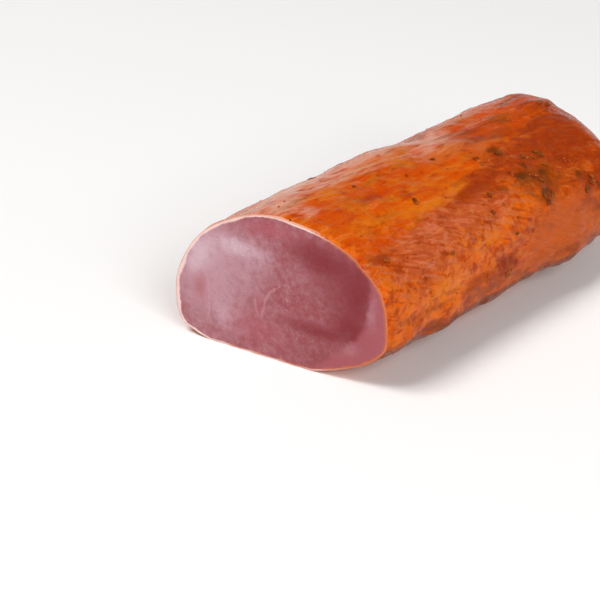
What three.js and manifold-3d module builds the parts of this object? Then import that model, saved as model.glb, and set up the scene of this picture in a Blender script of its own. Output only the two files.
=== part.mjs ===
// A marinated boneless pork loin: one piece of meat, cut across at its near end, with a coat of
// paprika marinade and flakes of dried herb that stick to it. Units are millimetres and +Z is up.
// The loin lies along +Y on a small flat of its own, and its cut face looks towards -Y.
// Places on the skin are given by how far along the loin they lie, from the middle of the cut
// face, and by how far round, from the crown and positive towards the right flank.

import * as THREE from 'three';
import { mergeVertices } from 'three/addons/utils/BufferGeometryUtils.js';
import Module from 'manifold-3d';

// Size of the loin
const LOIN_LENGTH = 202;
const LEFT_REACH = 47.6;
const RIGHT_REACH = 57.4;
const CROWN_RISE = 47;
const BELLY_DROP = 27;
const WAIST_HEIGHT = 23;
const CROWN_OFFSET = -5;
const END_ROUND_LENGTH = 36;
const CUT_SKEW_DEG = 14.3;
const CUT_SKEW_FADES_BY = 120;

// How full each quarter of the section is: 2 is an ellipse, more is squarer
const UPPER_RIGHT_FULLNESS = 2.33;
const UPPER_LEFT_FULLNESS = 1.76;
const LOWER_RIGHT_FULLNESS = 1.75;
const LOWER_LEFT_FULLNESS = 3.6;
const END_FULLNESS = 2.5;
const SOFTENING_STEP = 0.012;
const SOFTENING_WEIGHTS = [1, 2, 3, 2, 1];

// Soft lumps and finer ripples all over the meat
const LUMP = { height: 0.9, wavelength: 38, seed: 1 };
const RIPPLE = { height: 0.55, wavelength: 15, seed: 2 };
const END_LUMP = { height: 2.4, wavelength: 30, seed: 3 };

// The fat cap: its right edge drifts towards the crown, and the lean starts a step lower
const CAP = { edgeAtFace: 48, drift: -0.215, leftEdge: -98, step: 1.1, stepWidth: 5 };
const CAP_WOBBLE = { height: 3, wavelength: 22, seed: 4 };

// The lean shoulder that runs down the right side
const SHOULDER = { around: 58, height: 1.3, reach: 12 };

// Swells and hollows that stand out
const SWELLINGS = [
  { along: 37, around: 90, height: -2.4, reach: 9 },
  { along: 52, around: 89, height: 1.8, reach: 9 },
  { along: 139, around: 88, height: 3, reach: 16 },
  { along: 172, around: 84, height: 1, reach: 12 },
  { along: 73, around: -22, height: 0.9, reach: 15 },
  { along: 104, around: -14, height: -0.8, reach: 13 },
  { along: 3, around: -22, height: -0.8, reach: 10 },
  { along: 12, around: -48, height: 1.6, reach: 11 },
  { along: 85, around: -72, height: 2.2, reach: 22 },
  { along: 150, around: -58, height: -1.6, reach: 18 },
  { along: 176, around: 12, height: 1.4, reach: 20 },
];

// Lengthwise creases in the silverskin
const CREASES = [
  { around: -6, from: 18, to: 150, depth: 0.7, reach: 3.2 },
  { around: 17, from: 40, to: 128, depth: 0.5, reach: 3 },
  { around: 73, from: 16, to: 112, depth: 0.9, reach: 3.6 },
  { around: -46, from: 28, to: 186, depth: 1.3, reach: 4.2 },
  { around: -83, from: 4, to: 142, depth: 1.1, reach: 4 },
];
const CREASE_SWAY = { height: 4, wavelength: 48, seed: 5 };
const CREASE_FADE = 14;

// The cut face: how far its lean stands out in the middle, and how much its edge draws in
const FACE_DOME = 0.8;
const EDGE_DRAW_IN = { depth: 0.7, reach: 2.6 };

// Dried herb: size of a flake, and where flakes lie on the skin
const FLAKE = { length: 3.4, width: 1.7, thickness: 1.1, unevenness: 0.35, sides: 6 };
const HERB_SEED = 7;
const HERB_DRIFTS = [
  { along: 44, around: -22, reach: 0.5, count: 1, scale: 1.5 },
  { along: 44, around: 5, reach: 0, count: 1, scale: 0.9 },
  { along: 22, around: 46, reach: 0.5, count: 1, scale: 1.1 },
  { along: 69, around: 13, reach: 0, count: 1, scale: 0.9 },
  { along: 57, around: 28, reach: 0.5, count: 1, scale: 1.2 },
  { along: 57, around: 56, reach: 0, count: 1, scale: 0.9 },
  { along: 90, around: 10, reach: 0.5, count: 1, scale: 0.8 },
  { along: 107, around: 21, reach: 5, count: 3, scale: 1 },
  { along: 120, around: 26, reach: 3, count: 3, scale: 1.2 },
  { along: 95, around: 48, reach: 8, count: 3, scale: 1.1 },
  { along: 91, around: 77, reach: 4, count: 3, scale: 1 },
  { along: 99, around: 62, reach: 0.5, count: 1, scale: 1 },
  { along: 134, around: 41, reach: 11, count: 11, scale: 1.3 },
  { along: 126, around: 53, reach: 5, count: 5, scale: 1.2 },
  { along: 158, around: 56, reach: 7, count: 5, scale: 1.2 },
  { along: 178, around: 20, reach: 15, count: 4, scale: 1.1 },
  { along: 10, around: -50, reach: 6, count: 2, scale: 1.1 },
  { along: 62, around: -66, reach: 24, count: 4, scale: 1 },
  { along: 138, around: -72, reach: 20, count: 6, scale: 1.2 },
];

// Fineness of the surface
const STEPS_AROUND = 72;
const STEP_ALONG = 4.2;
const END_STEPS = 11;
const FACE_SHARES = [0, 0.34, 0.66, 0.88];
const EDGE_RING_ALONG = 1.4;
const WELD_DISTANCE = 1e-4;
const SLIVER_SIZE = 0.02;

const cutSlope = Math.tan(THREE.MathUtils.degToRad(CUT_SKEW_DEG));

// A point of the plain section, about its waist: four quarter superellipses that meet
function plainSection(turn, target) {
  const angle = 2 * Math.PI * turn;
  const isRight = Math.sin(angle) >= 0;
  const isUpper = Math.cos(angle) >= 0;
  const reach = isRight ? RIGHT_REACH : LEFT_REACH;
  const rise = isUpper ? CROWN_RISE : BELLY_DROP;
  const upperFullness = isRight ? UPPER_RIGHT_FULLNESS : UPPER_LEFT_FULLNESS;
  const lowerFullness = isRight ? LOWER_RIGHT_FULLNESS : LOWER_LEFT_FULLNESS;
  const power = 2 / (isUpper ? upperFullness : lowerFullness);
  const across = Math.sign(Math.sin(angle)) * reach * Math.abs(Math.sin(angle)) ** power;
  const up = Math.sign(Math.cos(angle)) * rise * Math.abs(Math.cos(angle)) ** power;
  return target.set(CROWN_OFFSET + across, up);
}

// The outline of the loin cut square across. It starts at the crown and runs down the right
// flank, under the belly and up the left flank. Neighbours are averaged, so no quarter ends in
// an edge.
class LoinSection extends THREE.Curve {
  getPoint(t, target = new THREE.Vector2()) {
    const sample = new THREE.Vector2();
    let total = 0;
    target.set(0, 0);
    SOFTENING_WEIGHTS.forEach((weight, i) => {
      const offset = (i - (SOFTENING_WEIGHTS.length - 1) / 2) * SOFTENING_STEP;
      target.addScaledVector(plainSection(t + offset, sample), weight);
      total += weight;
    });
    return target.divideScalar(total);
  }
}

const section = new LoinSection();
section.arcLengthDivisions = 4000;
const girth = section.getLength();

// A repeatable random value from 0 to 1 for each corner of a lattice
function cornerValue(i, j, k, seed) {
  let mix = Math.imul(i, 374761393) + Math.imul(j, 668265263);
  mix = (mix + Math.imul(k, 1274126177) + Math.imul(seed, 974634777)) | 0;
  mix = Math.imul(mix ^ (mix >>> 13), 1103515245);
  mix ^= mix >>> 16;
  return (mix >>> 0) / 4294967296;
}

// A smooth swell up to its height either way, whose bumps are about one wavelength apart
function swell(point, { height, wavelength, seed }) {
  const corner = [];
  const ease = [];
  for (const value of [point.x, point.y, point.z]) {
    const scaled = value / wavelength;
    const low = Math.floor(scaled);
    const part = scaled - low;
    corner.push(low);
    ease.push(part * part * part * (part * (part * 6 - 15) + 10));
  }
  let sum = 0;
  for (let bits = 0; bits < 8; bits += 1) {
    const step = [bits & 1, (bits >> 1) & 1, (bits >> 2) & 1];
    let weight = 1;
    for (let axis = 0; axis < 3; axis += 1) {
      weight *= step[axis] ? ease[axis] : 1 - ease[axis];
    }
    const at = corner.map((low, axis) => low + step[axis]);
    sum += weight * cornerValue(at[0], at[1], at[2], seed);
  }
  return height * (2 * sum - 1);
}

// A soft hump that is 1 at no distance and fades within about twice its reach
function hump(distance, reach) {
  return Math.exp(-((distance / reach) ** 2));
}

// How much of the fat cap covers a place: 1 on the cap and 0 on the lean
function capCover(along, around, point) {
  const wobble = swell(point, CAP_WOBBLE);
  const rightEdge = CAP.edgeAtFace + CAP.drift * along + wobble;
  const right = THREE.MathUtils.smoothstep(rightEdge - around, 0, CAP.stepWidth);
  const left = THREE.MathUtils.smoothstep(around - CAP.leftEdge + wobble, 0, CAP.stepWidth);
  return right * left;
}

// How far the skin stands out from the plain form at a place
function skinRelief(along, around, point) {
  let relief = swell(point, LUMP) + swell(point, RIPPLE);
  relief += CAP.step * (capCover(along, around, point) - 1);
  relief += SHOULDER.height * hump(around - SHOULDER.around, SHOULDER.reach);
  for (const spot of SWELLINGS) {
    const distance = Math.hypot(along - spot.along, around - spot.around);
    relief += spot.height * hump(distance, spot.reach);
  }
  const sway = swell(point, CREASE_SWAY);
  for (const crease of CREASES) {
    const start = THREE.MathUtils.smoothstep(along, crease.from, crease.from + CREASE_FADE);
    const end = 1 - THREE.MathUtils.smoothstep(along, crease.to - CREASE_FADE, crease.to);
    const groove = hump(around - crease.around - sway, crease.reach);
    relief -= crease.depth * start * end * groove;
  }
  return relief;
}

// A point of the loin. The turn goes once round from 0 to 1, and the share is that of the full
// section: it is less than 1 inside the cut face and where the far end rounds off.
function loinPoint(turn, ringAlong, share) {
  const edge = section.getPointAt(turn);
  const tangent = section.getTangentAt(turn);
  const around = girth * (turn > 0.5 ? turn - 1 : turn);
  const skew = cutSlope * Math.max(0, 1 - ringAlong / CUT_SKEW_FADES_BY);
  const along = ringAlong + skew * edge.x * share;
  const plain = new THREE.Vector3(edge.x, along, edge.y);
  const drawIn = EDGE_DRAW_IN.depth * Math.exp(-ringAlong / EDGE_DRAW_IN.reach);
  const relief = share * (skinRelief(along, around, plain) - drawIn);
  const point = new THREE.Vector3(edge.x, 0, edge.y).multiplyScalar(share);
  point.x += -tangent.y * relief;
  point.z += tangent.x * relief + WAIST_HEIGHT;
  if (ringAlong === 0) {
    point.y = cutSlope * point.x - FACE_DOME * (1 - share * share);
  } else {
    point.y = along + (1 - share) * swell(new THREE.Vector3(point.x, along, point.z), END_LUMP);
  }
  return point;
}

// The profile that the lathe turns: out over the cut face, along the skin, and in at the far tip.
// Its x is the share of the full section, and its y is the distance along the loin.
function loinProfile() {
  const profile = FACE_SHARES.map((share) => new THREE.Vector2(share, 0));
  profile.push(new THREE.Vector2(1, 0));
  const straight = LOIN_LENGTH - END_ROUND_LENGTH;
  const straightSteps = Math.round(straight / STEP_ALONG);
  for (let i = 0; i < straightSteps; i += 1) {
    const along = THREE.MathUtils.lerp(EDGE_RING_ALONG, straight, i / straightSteps);
    profile.push(new THREE.Vector2(1, along));
  }
  for (let i = 0; i < END_STEPS; i += 1) {
    const turn = (Math.PI / 2) * (i / END_STEPS);
    const share = Math.cos(turn) ** (2 / END_FULLNESS);
    const along = straight + END_ROUND_LENGTH * Math.sin(turn) ** (2 / END_FULLNESS);
    profile.push(new THREE.Vector2(share, along));
  }
  profile.push(new THREE.Vector2(0, LOIN_LENGTH));
  return profile;
}

// The body of the loin: a turned form whose rings are moulded to the section
function loinGeometry() {
  const profile = loinProfile();
  const geometry = new THREE.LatheGeometry(profile, STEPS_AROUND);
  const position = geometry.attributes.position;
  for (let v = 0; v < position.count; v += 1) {
    const ring = profile[v % profile.length];
    const spoke = Math.floor(v / profile.length) % STEPS_AROUND;
    const point = loinPoint(spoke / STEPS_AROUND, ring.y, ring.x);
    position.setXYZ(v, point.x, point.y, point.z);
  }
  return geometry;
}

// Repeatable random draws from 0 to 1
function makeDraw(seed) {
  let state = seed >>> 0;
  return () => {
    state = (Math.imul(state, 1664525) + 1013904223) >>> 0;
    return state / 4294967296;
  };
}

// The ring of the loin whose skin lies at a distance along
function ringAt(along, turn) {
  const lean = cutSlope * section.getPointAt(turn).x;
  const ring = (along - lean) / (1 - lean / CUT_SKEW_FADES_BY);
  return Math.min(Math.max(ring < CUT_SKEW_FADES_BY ? ring : along, 1), LOIN_LENGTH);
}

// The share of the full section that is left at a ring
function shareAt(ring) {
  const past = (ring - (LOIN_LENGTH - END_ROUND_LENGTH)) / END_ROUND_LENGTH;
  return (1 - Math.max(0, past) ** END_FULLNESS) ** (1 / END_FULLNESS);
}

// A point of the skin, by its place along and around
function skinPoint(along, around) {
  const turn = ((around / girth) % 1 + 1) % 1;
  const ring = ringAt(along, turn);
  return loinPoint(turn, ring, shareAt(ring));
}

// One flake: a thin uneven chip that lies half sunk in the skin
function flakeGeometry(along, around, scale, draw) {
  const chip = new THREE.CylinderGeometry(1, 1, 1, FLAKE.sides);
  const rim = [];
  for (let i = 0; i < FLAKE.sides; i += 1) rim.push(1 - FLAKE.unevenness * draw());
  const position = chip.attributes.position;
  for (let v = 0; v < position.count; v += 1) {
    const [x, y, z] = [position.getX(v), position.getY(v), position.getZ(v)];
    const corner = Math.round((Math.atan2(z, x) / (2 * Math.PI)) * FLAKE.sides);
    const reach = rim[(corner + FLAKE.sides) % FLAKE.sides];
    position.setXYZ(v, x * reach, y, z * reach);
  }
  const stretch = 0.75 + 0.5 * draw();
  const size = new THREE.Vector3(FLAKE.length * stretch, 0, FLAKE.width);
  chip.scale((size.x * scale) / 2, FLAKE.thickness * scale, (size.z * scale) / 2);
  chip.rotateY(Math.PI * draw());
  const middle = skinPoint(along, around);
  const ahead = skinPoint(along + 1, around).sub(middle);
  const beside = skinPoint(along, around + 1).sub(middle);
  const outward = new THREE.Vector3().crossVectors(ahead, beside).normalize();
  const upright = new THREE.Vector3(0, 1, 0);
  chip.applyQuaternion(new THREE.Quaternion().setFromUnitVectors(upright, outward));
  chip.translate(middle.x, middle.y, middle.z);
  return chip;
}

// All the flakes, drift by drift
function herbGeometries() {
  const draw = makeDraw(HERB_SEED);
  const flakes = [];
  for (const drift of HERB_DRIFTS) {
    for (let i = 0; i < drift.count; i += 1) {
      const heading = 2 * Math.PI * draw();
      const distance = drift.reach * Math.sqrt(draw());
      const along = drift.along + distance * Math.cos(heading);
      const around = drift.around + distance * Math.sin(heading);
      const scale = drift.scale * (0.75 + 0.5 * draw());
      flakes.push(flakeGeometry(along, around, scale, draw));
    }
  }
  return flakes;
}

const wasm = await Module();
wasm.setup();

// The triangles that still have three corners after a weld
function wholeTriangles(corners) {
  const kept = [];
  for (let i = 0; i < corners.length; i += 3) {
    const [a, b, c] = [corners[i], corners[i + 1], corners[i + 2]];
    if (a !== b && b !== c && c !== a) kept.push(a, b, c);
  }
  return kept;
}

// A closed geometry as a solid that can be joined and cut
function toSolid(geometry) {
  const bare = geometry.clone();
  bare.deleteAttribute('normal');
  bare.deleteAttribute('uv');
  const merged = mergeVertices(bare, WELD_DISTANCE);
  const vertProperties = new Float32Array(merged.attributes.position.array);
  const triVerts = new Uint32Array(wholeTriangles(merged.index.array));
  return new wasm.Manifold(new wasm.Mesh({ numProp: 3, vertProperties, triVerts }));
}

// A solid as a geometry with flat faces, without the slivers that cuts leave
function toGeometry(solid) {
  const mesh = solid.getMesh();
  const raw = new THREE.BufferGeometry();
  raw.setAttribute('position', new THREE.BufferAttribute(mesh.vertProperties, 3));
  raw.setIndex(new THREE.BufferAttribute(mesh.triVerts, 1));
  const geometry = mergeVertices(raw, SLIVER_SIZE);
  geometry.setIndex(wholeTriangles(geometry.index.array));
  geometry.computeVertexNormals();
  return geometry;
}

// What presses the belly flat: the space below the surface that the loin lies on
function spaceBelow() {
  const depth = BELLY_DROP;
  const space = new THREE.BoxGeometry(4 * RIGHT_REACH, 2 * LOIN_LENGTH, depth);
  space.translate(0, LOIN_LENGTH / 2, -depth / 2);
  return space;
}

let loinSolid = toSolid(loinGeometry());
for (const flake of herbGeometries()) loinSolid = loinSolid.add(toSolid(flake));
loinSolid = loinSolid.subtract(toSolid(spaceBelow()));

// The origin is on the surface that the loin lies on, under the middle of the whole piece
const loinShape = toGeometry(loinSolid);
loinShape.computeBoundingBox();
const middle = loinShape.boundingBox.getCenter(new THREE.Vector3());
loinShape.translate(-middle.x, -middle.y, 0);

const coat = new THREE.MeshStandardMaterial({ color: 0xc4602a, roughness: 0.35, metalness: 0 });
const loin = new THREE.Mesh(loinShape, coat);
loin.name = 'pork_loin';

const part = new THREE.Group();
part.add(loin);

export default part;
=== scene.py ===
# The looks of a marinated pork loin, cut across at its near end. Its skin is moulded on a turned
# mesh by the same rules as the solid, in millimetres, and then gets the finer relief that the
# solid leaves out: muscle fibres, fat ripples and strands of marinade. Flakes of dried herb lie
# where the solid has them, and crumbs of herb and spice are scattered over it.
# Places on the skin are given by how far along the loin they lie, from the middle of the cut
# face, and by how far round, from the crown and positive towards the right flank.

import math

import bmesh
import bpy
import numpy as np
from bpy.props import FloatProperty, FloatVectorProperty, IntProperty, PointerProperty
from mathutils import Matrix, Vector


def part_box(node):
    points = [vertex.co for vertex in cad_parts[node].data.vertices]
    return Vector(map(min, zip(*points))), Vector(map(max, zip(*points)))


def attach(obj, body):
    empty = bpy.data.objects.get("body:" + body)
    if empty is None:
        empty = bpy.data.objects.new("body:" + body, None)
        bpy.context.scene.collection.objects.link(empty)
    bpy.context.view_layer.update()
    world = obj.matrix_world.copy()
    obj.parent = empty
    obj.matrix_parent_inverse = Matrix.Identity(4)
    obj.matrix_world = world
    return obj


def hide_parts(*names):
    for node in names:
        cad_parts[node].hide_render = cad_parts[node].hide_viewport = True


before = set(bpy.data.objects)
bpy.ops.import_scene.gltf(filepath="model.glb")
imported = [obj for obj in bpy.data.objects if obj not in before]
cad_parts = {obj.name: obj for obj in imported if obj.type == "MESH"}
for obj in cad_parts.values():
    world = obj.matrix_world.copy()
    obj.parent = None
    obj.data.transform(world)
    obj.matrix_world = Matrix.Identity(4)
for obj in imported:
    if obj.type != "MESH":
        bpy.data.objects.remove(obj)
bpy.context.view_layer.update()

bl_info = {
    "name": "Marinated Pork Loin",
    "version": (1, 0, 0),
    "blender": (4, 5, 0),
    "location": "3D View > Sidebar > Pork Loin",
    "description": "Builds a marinated pork loin with its coat, cut face, herbs and stage",
    "category": "Add Mesh",
}

MM = 0.001

# Size of the loin, in millimetres as in the solid
LOIN_LENGTH = 202
LEFT_REACH = 47.6
RIGHT_REACH = 57.4
CROWN_RISE = 47
BELLY_DROP = 27
WAIST_HEIGHT = 23
CROWN_OFFSET = -5
END_ROUND_LENGTH = 36
CUT_SKEW = math.radians(14.3)
CUT_SKEW_FADES_BY = 120

# How full each quarter of the section is: 2 is an ellipse, more is squarer
UPPER_RIGHT_FULLNESS = 2.33
UPPER_LEFT_FULLNESS = 1.76
LOWER_RIGHT_FULLNESS = 1.75
LOWER_LEFT_FULLNESS = 3.6
END_FULLNESS = 2.5
SOFTENING_STEP = 0.012
SOFTENING_WEIGHTS = (1, 2, 3, 2, 1)

# Soft lumps and ripples: height, wavelength and seed
LUMP = (0.9, 38, 1)
RIPPLE = (0.55, 15, 2)
END_LUMP = (2.4, 30, 3)

# The fat cap: its right edge drifts towards the crown, and the lean starts a step lower
CAP_EDGE_AT_FACE = 48
CAP_DRIFT = -0.215
CAP_LEFT_EDGE = -98
CAP_STEP = 1.1
CAP_STEP_WIDTH = 5
CAP_WOBBLE = (3, 22, 4)

# The lean shoulder down the right side: around, height and reach
SHOULDER = (58, 1.3, 12)

# Swells and hollows that stand out: along, around, height and reach
SWELLINGS = (
    (37, 90, -2.4, 9),
    (52, 89, 1.8, 9),
    (139, 88, 3, 16),
    (172, 84, 1, 12),
    (73, -22, 0.9, 15),
    (104, -14, -0.8, 13),
    (3, -22, -0.8, 10),
    (12, -48, 1.6, 11),
    (85, -72, 2.2, 22),
    (150, -58, -1.6, 18),
    (176, 12, 1.4, 20),
)

# Lengthwise creases in the silverskin: around, from, to, depth and reach
CREASES = (
    (-6, 18, 150, 0.7, 3.2),
    (17, 40, 128, 0.5, 3),
    (73, 16, 112, 0.9, 3.6),
    (-46, 28, 186, 1.3, 4.2),
    (-83, 4, 142, 1.1, 4),
)
CREASE_SWAY = (4, 48, 5)
CREASE_FADE = 14

# The cut face: how far its lean stands out in the middle, and how much its edge draws in
FACE_DOME = 0.8
EDGE_DRAW_IN_DEPTH = 0.7
EDGE_DRAW_IN_REACH = 2.6

# Where dried herb lies, as in the solid: along, around, reach, count and scale
HERB_SEED = 7
HERB_DRIFTS = (
    (44, -22, 0.5, 1, 1.5),
    (44, 5, 0, 1, 0.9),
    (22, 46, 0.5, 1, 1.1),
    (69, 13, 0, 1, 0.9),
    (57, 28, 0.5, 1, 1.2),
    (57, 56, 0, 1, 0.9),
    (90, 10, 0.5, 1, 0.8),
    (107, 21, 5, 3, 1),
    (120, 26, 3, 3, 1.2),
    (95, 48, 8, 3, 1.1),
    (91, 77, 4, 3, 1),
    (99, 62, 0.5, 1, 1),
    (134, 41, 11, 11, 1.3),
    (126, 53, 5, 5, 1.2),
    (158, 56, 7, 5, 1.2),
    (178, 20, 15, 4, 1.1),
    (10, -50, 6, 2, 1.1),
    (62, -66, 24, 4, 1),
    (138, -72, 20, 6, 1.2),
)
FLAKE_LENGTH = 3.4
FLAKE_WIDTH = 1.7
FLAKE_SIDES = 6
FLAKE_UNEVENNESS = 0.35
FLAKE_CURL = (0.16, -0.1, 0.08)

# Where crumbs gather: along, around, spread along, spread around and share of all crumbs
CRUMB_DRIFTS = (
    (60, 60, 34, 14, 0.22),
    (20, 62, 9, 20, 0.1),
    (9, 20, 6, 30, 0.08),
    (130, 46, 26, 12, 0.2),
    (115, 20, 14, 8, 0.06),
    (100, 10, 60, 60, 0.14),
    (80, -66, 50, 26, 0.14),
    (165, -20, 22, 50, 0.06),
)
SPICE_SEED = 11
HERB_CRUMB_SEED = 12
HERB_CRUMB_SIZES = (0.4, 1.2)
CRUMB_FLATNESS = 0.75

# How far a crumb's middle lies above the skin, and how much of each end is clear of crumbs
CRUMB_RISE = 0.1
CRUMB_FREE_EDGE = 1.5
CRUMB_FREE_END = 8

# Where the sides meet the flat underside, around the loin
LEFT_FOOT = -98
RIGHT_FOOT = 116

# Relief that only the mesh that shows has: height, wavelength and seed. The skin is rough past
# the first of two distances along the loin, or round it, and fully so from the second. Its fine
# relief fades towards the cut.
PIMPLE = (0.2, 3, 33)
DIMPLE = (0.36, 7, 34)
FACE_RIPPLE = (0.12, 4, 42)
ROUGH_SKIN = (0.9, 13, 35)
ROUGH_ALONG = (135, 175)
ROUGH_AROUND = (76, 92)
RELIEF_FADE = 1.5

# Streaks in the relief: length, width and seed
FIBRE_STREAK = (13, 3, 31)
OIL_STREAK = (15, 4, 32)

# Raised strands of marinade: their turn from the fibres in degrees, and their seed
STRANDS = ((0, 21), (70, 22), (-50, 23), (25, 24), (115, 25))
STRAND_LENGTH = 10
STRAND_SPACING = 4.6
STRAND_NARROWNESS = 0.25
STRAND_WANDER = (0.3, 5)
STRAND_GAP = 6

# Fineness of the mesh that shows
SPOKES = 320
RING_STEP = 0.9
END_RINGS = 50
FACE_RINGS = 28
RIM_PROFILE = ((0.985, 0), (0.993, 0), (0.9975, 0.08), (1, 0.42))

# Which way the muscle fibres run under the skin, and the marinade's streaks on the fat
FIBRE_HEADING = Vector((0.28, 0.88, -0.38)).normalized()
STREAK_HEADING = Vector((0.1, 0.99, -0.05)).normalized()

# The stage, in metres: its floor and lamps, and the sine of the angle above the horizon from
# which the surround is at its dimmest
FLOOR_RADIUS = 2
KEY_SPOT = (-0.75, -1.4, 3)
KEY_SIZE = 1.4
FILL_SPOT = (2.4, -0.9, 1.8)
FILL_SIZE = 1.6
CEILING_FROM = 0.36

# Where the coat changes its look. Clotted lean has raised strands, thin and bare are fat with
# little marinade, and bare is also painted sheen along the crown. Steeped is under the herbs.
# The zone at the foot is painted shade where the loin meets the floor, darkened by soaked
# marinade, and two spots of the ruddy zone paint the same shade.
# Each spot is along, around, reach along, reach around and strength.
COAT_ZONES = {
    "glowing": (
        (40, 72, 34, 9, 1), (12, 68, 13, 13, 1), (80, 60, 16, 6, 1), (10, 30, 8, 10, 0.6),
        (112, 52, 14, 5, 0.7), (50, -50, 30, 9, 0.8),
    ),
    "clotted": (
        (52, 66, 42, 12, 0.8), (16, 62, 9, 18, 0.7), (80, 56, 20, 11, 1), (30, 80, 30, 8, 0.7),
        (92, 74, 12, 9, 0.8), (8, 34, 6, 16, 0.6), (118, 46, 26, 12, 0.5), (60, -60, 60, 18, 1),
        (174, -34, 20, 36, 0.7), (80, 118, 60, 9, 0.8), (120, -124, 50, 9, 0.8),
    ),
    "reddened": (
        (45, 16, 10, 3, 1), (62, 4, 7, 4, 0.4), (14, 26, 6, 3, 0.6), (84, 12, 12, 4, 0.4),
        (118, 10, 9, 4, 0.5), (62, 62, 6, 3, 0.8), (40, -64, 24, 8, 0.7), (96, -44, 18, 6, 0.6),
        (152, -34, 22, 12, 0.8), (176, 60, 10, 14, 0.6),
    ),
    "thin": (
        (103, 9, 18, 7, 1), (116, 17, 9, 4, 0.7), (70, -84, 30, 7, 0.6),
    ),
    "ruddy_and_shade": (
        (140, 28, 30, 13, 1), (98, 35, 20, 7, 1), (128, 6, 22, 12, 0.7), (165, 35, 18, 20, 0.8),
        (172, 10, 16, 20, 0.7), (164, 56, 14, 12, 0.7), (20, 45, 7, 4, 1), (90, 74, 12, 6, 0.9),
        (67, 74, 8, 4, 0.8), (35, 84, 18, 6, 0.5), (45, 15, 13, 5, 0.4), (120, -66, 30, 16, 0.8),
        # The last two spots on this line are painted shade along the bottom of both flanks, where
        # the loin meets the floor
        (180, -20, 22, 26, 0.6), (30, -84, 20, 10, 0.7), (90, 93, 95, 7, 1), (90, -116, 95, 9, 1),
    ),
    "soaked": (
        (120, 41, 9, 5, 0.9), (134, 45, 14, 7, 1), (126, 54, 8, 4, 0.9), (101, 42, 6, 4, 0.6),
        (120, 24, 5, 6, 0.7), (156, 54, 7, 6, 0.7), (110, -17, 15, 8, 0.8), (138, -72, 14, 9, 0.8),
        (62, -62, 12, 8, 0.5), (176, -34, 10, 14, 0.6), (100, 130, 18, 8, 0.7),
        (122, 2, 12, 6, 0.6), (104, 4, 7, 4, 0.4),
    ),
    "steeped": (
        (119, 40, 3.6, 3, 1), (133, 42, 4.5, 3, 0.9), (127, 51, 5, 3, 0.9), (141, 48, 5, 3, 0.6),
        (154, 51, 4, 3, 0.8), (105, 42, 4.5, 3, 0.7), (119, 21, 5, 2.6, 0.9), (121, 25, 3, 2, 0.8),
        (62, -64, 5, 3, 0.7), (138, -70, 6, 4, 0.8),
    ),
    # Painted shade along the foot, where the loin meets the floor, and marinade soaked darker there
    "foot_shade_and_soak": (
        (16, 98, 22, 11, 1), (62, 98, 28, 14, 1), (108, 97, 30, 12, 1), (160, 99, 34, 15, 1),
        (24, -104, 26, 11, 0.9), (84, -108, 34, 13, 0.9), (150, -105, 32, 12, 1),
        (40, 138, 16, 6, 0.6), (128, -138, 26, 5, 0.6),
    ),
    # Pale fat with little marinade; the spots along the crown are also painted sheen
    "bare_fat_and_sheen": (
        (26, -18, 46, 9, 1), (45, -6, 34, 7, 0.4), (90, -13, 30, 7, 0.7), (110, -6, 10, 8, 0.8),
        (98, 1, 12, 6, 0.7), (8, -4, 12, 8, 0.8), (2, -50, 6, 28, 0.9), (12, 8, 6, 5, 0.6),
        (182, 30, 10, 8, 0.3), (60, -92, 40, 8, 0.6), (60, 124, 50, 8, 0.7),
        (130, -128, 34, 7, 0.6),
    ),
    "salmon": (
        (60, 44, 36, 8, 1), (44, 54, 26, 7, 1), (88, 54, 6, 5, 0.7), (90, 45, 20, 8, 0.5),
        (196, -40, 14, 30, 0.8), (190, 90, 10, 24, 0.7), (60, -122, 60, 10, 0.9),
        (140, 120, 30, 9, 0.8),
    ),
    "smooth": (
        (126, 68, 20, 10, 0.9), (150, 72, 22, 14, 1), (112, 80, 16, 6, 0.7),
        (170, -60, 20, 30, 0.6),
    ),
    "golden": (
        (62, 33, 20, 3, 1), (82, 30, 12, 3, 0.9), (30, 2, 16, 5, 0.8), (55, -6, 30, 6, 0.9),
        (75, 20, 18, 6, 0.6), (76, -1, 12, 5, 0.9), (54, 28, 12, 4, 0.8), (24, 27, 14, 6, 0.8),
        (48, 67, 8, 4, 1), (48, 71, 16, 5, 1), (78, 58, 14, 5, 0.9), (20, 74, 8, 6, 0.6),
        (130, 18, 6, 3, 0.9), (2, 12, 4, 9, 0.9), (95, 22, 8, 5, 0.6), (50, -50, 22, 7, 0.7),
        (150, -84, 26, 8, 0.7), (40, 124, 20, 8, 0.7),
    ),
}

# Where the cut face changes its look. Each spot is across, up, reach across, reach up and
# strength.
FACE_ZONES = {
    # Greyish pink over the left of the cut: partly the meat's own tone, partly painted sheen
    "dusty": (
        (-35, 38, 23, 33, 0.95), (-12, 46, 14, 12, 0.4),
    ),
    # Painted sheen: pale reflections on the moist cut, strongest at its upper left
    "painted_sheen": (
        (-22, 51, 11, 5, 0.6), (-38, 45, 7, 8, 0.6), (-42, 37, 5, 6, 0.5), (-28, 16, 8, 8, 0.35),
        (-9, 50, 7, 5, 0.3), (42.5, 37, 2.4, 9, 0.3), (33, 17, 4, 5, 0.25),
    ),
    "rosy": (
        (-39, 27, 4, 9, 0.65), (-5, 63, 14, 4, 0.9), (-12, 14, 16, 9, 0.6), (-9, 26, 2.2, 4, 0.8),
        (48, 27, 4, 9, 0.9),
    ),
    # Dark red on the right and at the foot of the cut: partly the meat's own colour, partly painted
    # shade
    "deep": (
        (22, 54, 15, 7, 0.8), (37, 44, 7, 13, 0.95), (34, 27, 8, 7, 0.9), (14, 59, 12, 5, 0.5),
        (28, 40, 16, 20, 0.5), (20, 21, 22, 4, 0.7), (24, 8, 26, 8, 0.5), (44, 10, 7, 8, 0.3),
    ),
}

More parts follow.
